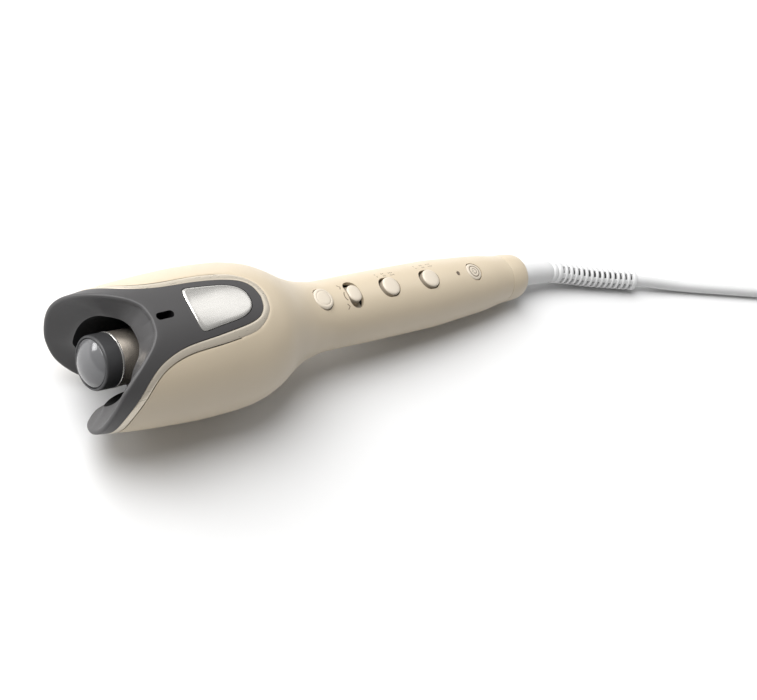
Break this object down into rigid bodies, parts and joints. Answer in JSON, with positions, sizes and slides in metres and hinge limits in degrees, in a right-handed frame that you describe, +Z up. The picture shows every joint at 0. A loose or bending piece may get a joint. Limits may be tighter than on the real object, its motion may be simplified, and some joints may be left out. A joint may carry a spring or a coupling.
{
  "type": "automatic hair curler",
  "caption": "Automatic hair curler with a slim handle, a widened two-pronged mouth round a heated barrel, a hidden winding drum, slide and push controls and a cord.",
  "frame": {"origin": "on the surface it lies on, under the middle of the object without its free cord", "axes": "+X along the object towards the mouth, +Y towards the prong on the control side's left, +Z up, out of the control side"},
  "size_m": [0.6253, 0.1104, 0.0715],
  "materials": {
    "cream_plastic": "satin moulded cream",
    "dark_grey_plastic": "satin moulded dark grey",
    "champagne_trim": "metallic paint",
    "satin_silver": "satin",
    "bronze_ceramic": "satin ceramic coating",
    "black_plastic": "matt",
    "grey_gloss_plastic": "gloss",
    "ivory_nylon": "moulded",
    "steel": "machined",
    "aluminium": "extruded",
    "ceramic_heater": "fired ceramic with foil",
    "circuit_board": "solder mask",
    "component_black": "moulded",
    "capacitor_sleeve": "shrink sleeve",
    "copper_winding": "enamelled copper wire",
    "light_guide": "clear guide",
    "white_rubber": "satin flexible vinyl",
    "wire_silicone": "silicone sleeve"
  },
  "bodies": {
    "handle": {"upper_shell": "cream_plastic", "back_shell": "cream_plastic", "end_cap": "cream_plastic", "mouth_bezel": "dark_grey_plastic", "bezel_trim": "champagne_trim", "name_plate": "satin_silver", "heater_barrel": "bronze_ceramic", "barrel_ring": "satin_silver", "barrel_cap": "dark_grey_plastic", "cap_dome": "grey_gloss_plastic", "heater_clamp_1": "aluminium", "heater_clamp_2": "aluminium", "heater_plate": "ceramic_heater", "chamber_liner": "black_plastic", "gear_plate": "ivory_nylon", "gear_motor": "steel", "handle_tray": "ivory_nylon", "shell_screw_1": "steel", "shell_screw_2": "steel", "shell_screw_3": "steel", "power_board": "circuit_board", "capacitor": "capacitor_sleeve", "filter_coil": "copper_winding", "power_relay": "component_black", "control_board": "circuit_board", "curl_switch": "component_black", "power_switch": "component_black", "direction_switch": "component_black", "time_switch": "component_black", "temperature_switch": "component_black", "indicator_light": "light_guide", "cord_clamp": "ivory_nylon", "heater_leads": "wire_silicone", "motor_leads": "black_plastic", "strain_boot": "white_rubber", "power_cord": "white_rubber", "cord_coil": "white_rubber", "plug_body": "white_rubber", "plug_pin_1": "steel", "plug_pin_2": "steel"},
    "winding_drum_body": {"winding_drum": "black_plastic", "ring_gear": "ivory_nylon"},
    "drive_pinion_body": {"drive_pinion": "ivory_nylon", "motor_shaft": "steel"},
    "curl_button_body": {"curl_button": "cream_plastic"},
    "power_button_body": {"power_button": "cream_plastic"},
    "direction_slider_body": {"direction_slider": "cream_plastic"},
    "time_slider_body": {"time_slider": "cream_plastic"},
    "temperature_slider_body": {"temperature_slider": "cream_plastic"}
  },
  "joints": [
    {"name": "drum_spin", "type": "hinge", "parent": "handle", "child": "winding_drum_body", "pos_m": [0.14008, 0, 0.0368], "axis": [0.9946, 0, 0.1037], "continuous": true},
    {"name": "pinion_spin", "type": "hinge", "parent": "handle", "child": "drive_pinion_body", "pos_m": [0.11646, 0, 0.02228], "axis": [0.9946, 0, 0.1037], "continuous": true},
    {"name": "curl_button_press", "type": "slide", "parent": "handle", "child": "curl_button_body", "axis": [0.1037, 0, -0.9946], "range_m": [0, 0.001], "stiffness_N_per_m": 400, "springref_m": -0.0005},
    {"name": "power_button_press", "type": "slide", "parent": "handle", "child": "power_button_body", "axis": [0.1037, 0, -0.9946], "range_m": [0, 0.0006], "stiffness_N_per_m": 500, "springref_m": -0.0005},
    {"name": "direction_slide", "type": "slide", "parent": "handle", "child": "direction_slider_body", "axis": [0, 1, 0], "range_m": [-0.002, 0.002]},
    {"name": "time_slide", "type": "slide", "parent": "handle", "child": "time_slider_body", "axis": [0.9946, 0, 0.1037], "range_m": [0, 0.0021]},
    {"name": "temperature_slide", "type": "slide", "parent": "handle", "child": "temperature_slider_body", "axis": [0.9946, 0, 0.1037], "range_m": [0, 0.0021]}
  ],
  "couplings": [
    {"joint": "pinion_spin", "follows": "drum_spin", "ratio": 4}
  ]
}
